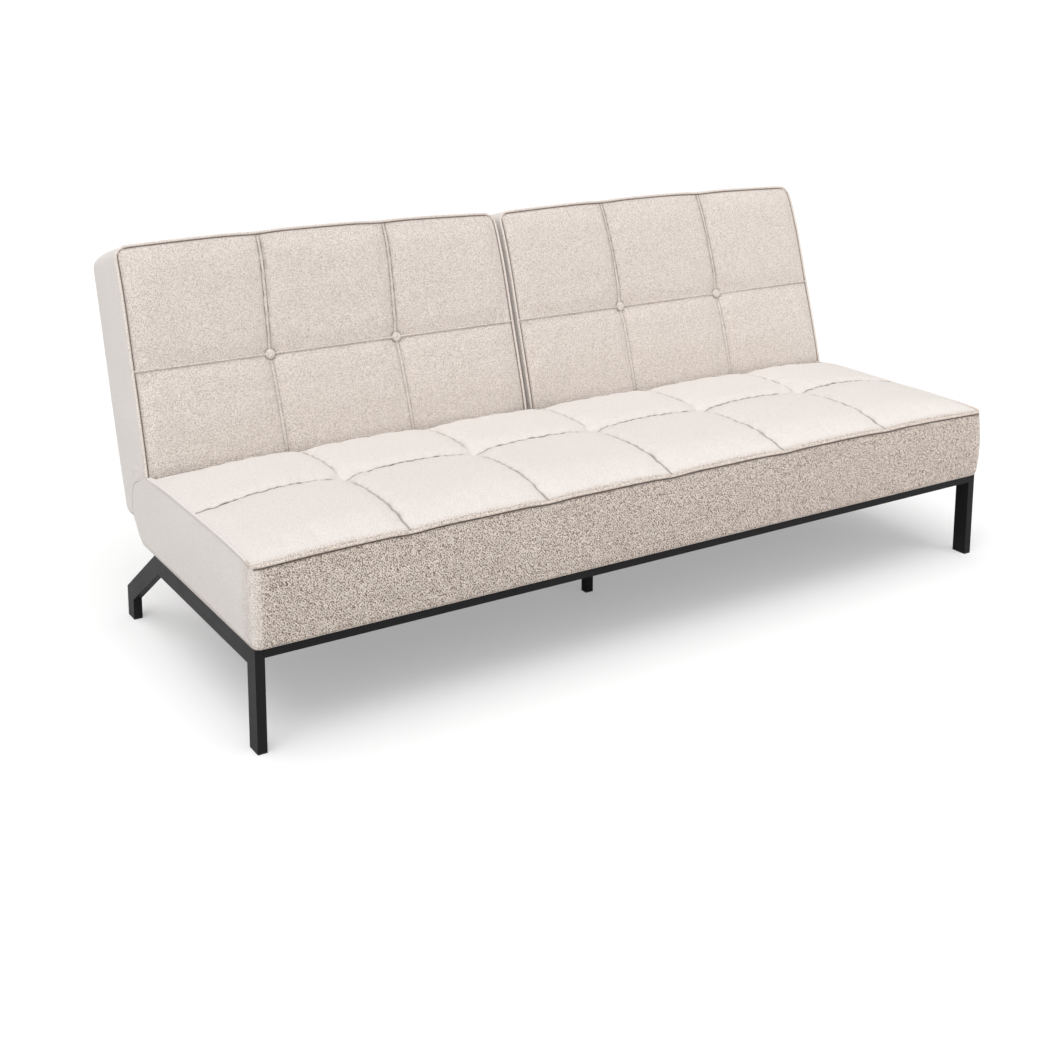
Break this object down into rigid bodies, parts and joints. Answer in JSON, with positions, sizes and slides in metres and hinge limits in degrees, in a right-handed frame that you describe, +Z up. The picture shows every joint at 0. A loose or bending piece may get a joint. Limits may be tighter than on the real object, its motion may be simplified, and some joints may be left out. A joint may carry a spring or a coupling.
{
  "type": "click clack sofa bed",
  "caption": "Click clack sofa bed: black steel tube base, long quilted cream seat and a split quilted back with covered buttons, each half reclining flat on a ratchet hinge.",
  "frame": {"origin": "on the floor, under the middle of the sofa's box in its upright pose", "axes": "+X to the right as seen from the front, +Y to the back, +Z up"},
  "size_m": [1.9882, 0.9462, 0.8844],
  "materials": {
    "black_steel": "satin",
    "zinc_steel": "satin",
    "black_plastic": "matte",
    "cream_fabric": "matte",
    "pine_wood": "matte",
    "white_foam": "matte",
    "black_felt": "matte"
  },
  "bodies": {
    "root": {"left_side_frame": "black_steel", "left_front_glide": "black_plastic", "left_rear_glide": "black_plastic", "left_front_rail_screw": "zinc_steel", "left_rear_rail_screw": "zinc_steel", "right_side_frame": "black_steel", "right_front_glide": "black_plastic", "right_rear_glide": "black_plastic", "right_front_rail_screw": "zinc_steel", "right_rear_rail_screw": "zinc_steel", "front_rail": "black_steel", "rear_rail": "black_steel", "centre_beam": "black_steel", "centre_leg": "black_steel", "centre_glide": "black_plastic", "seat_cover": "cream_fabric", "seat_front_board": "pine_wood", "seat_rear_board": "pine_wood", "seat_left_board": "pine_wood", "seat_right_board": "pine_wood", "seat_centre_board": "pine_wood", "seat_spring_1": "zinc_steel", "seat_spring_2": "zinc_steel", "seat_spring_3": "zinc_steel", "seat_spring_4": "zinc_steel", "seat_foam": "white_foam", "seat_dust_cover": "black_felt", "left_hinge_seat_plate": "zinc_steel", "left_hinge_pivot_bolt": "zinc_steel", "right_hinge_seat_plate": "zinc_steel", "right_hinge_pivot_bolt": "zinc_steel", "centre_hinge_bracket": "zinc_steel", "centre_hinge_bolt": "zinc_steel"},
    "left_back": {"left_back_cover": "cream_fabric", "left_back_foam": "white_foam", "left_back_inner_stile": "pine_wood", "left_back_outer_stile": "pine_wood", "left_back_lower_rail": "pine_wood", "left_back_upper_rail": "pine_wood", "left_back_spring_1": "zinc_steel", "left_back_spring_2": "zinc_steel", "left_back_button_1": "cream_fabric", "left_back_button_2": "cream_fabric", "left_hinge_back_arm": "zinc_steel", "left_centre_hinge_arm": "zinc_steel"},
    "right_back": {"right_back_cover": "cream_fabric", "right_back_foam": "white_foam", "right_back_inner_stile": "pine_wood", "right_back_outer_stile": "pine_wood", "right_back_lower_rail": "pine_wood", "right_back_upper_rail": "pine_wood", "right_back_spring_1": "zinc_steel", "right_back_spring_2": "zinc_steel", "right_back_button_1": "cream_fabric", "right_back_button_2": "cream_fabric", "right_hinge_back_arm": "zinc_steel", "right_centre_hinge_arm": "zinc_steel"},
    "left_pawl": {"left_hinge_pawl": "zinc_steel"},
    "right_pawl": {"right_hinge_pawl": "zinc_steel"}
  },
  "joints": [
    {"name": "left_back_recline", "type": "hinge", "parent": "root", "child": "left_back", "pos_m": [-0.5, 0.17788, 0.315], "axis": [-1, 0, 0], "range_deg": [-10, 72.85]},
    {"name": "right_back_recline", "type": "hinge", "parent": "root", "child": "right_back", "pos_m": [0.5, 0.17788, 0.315], "axis": [-1, 0, 0], "range_deg": [-10, 72.85]},
    {"name": "left_pawl_lift", "type": "hinge", "parent": "root", "child": "left_pawl", "pos_m": [-0.9682, 0.13988, 0.266], "axis": [1, 0, 0], "range_deg": [0, 20], "stiffness_Nm_per_rad": 0.1},
    {"name": "right_pawl_lift", "type": "hinge", "parent": "root", "child": "right_pawl", "pos_m": [0.9682, 0.13988, 0.266], "axis": [1, 0, 0], "range_deg": [0, 20], "stiffness_Nm_per_rad": 0.1}
  ]
}
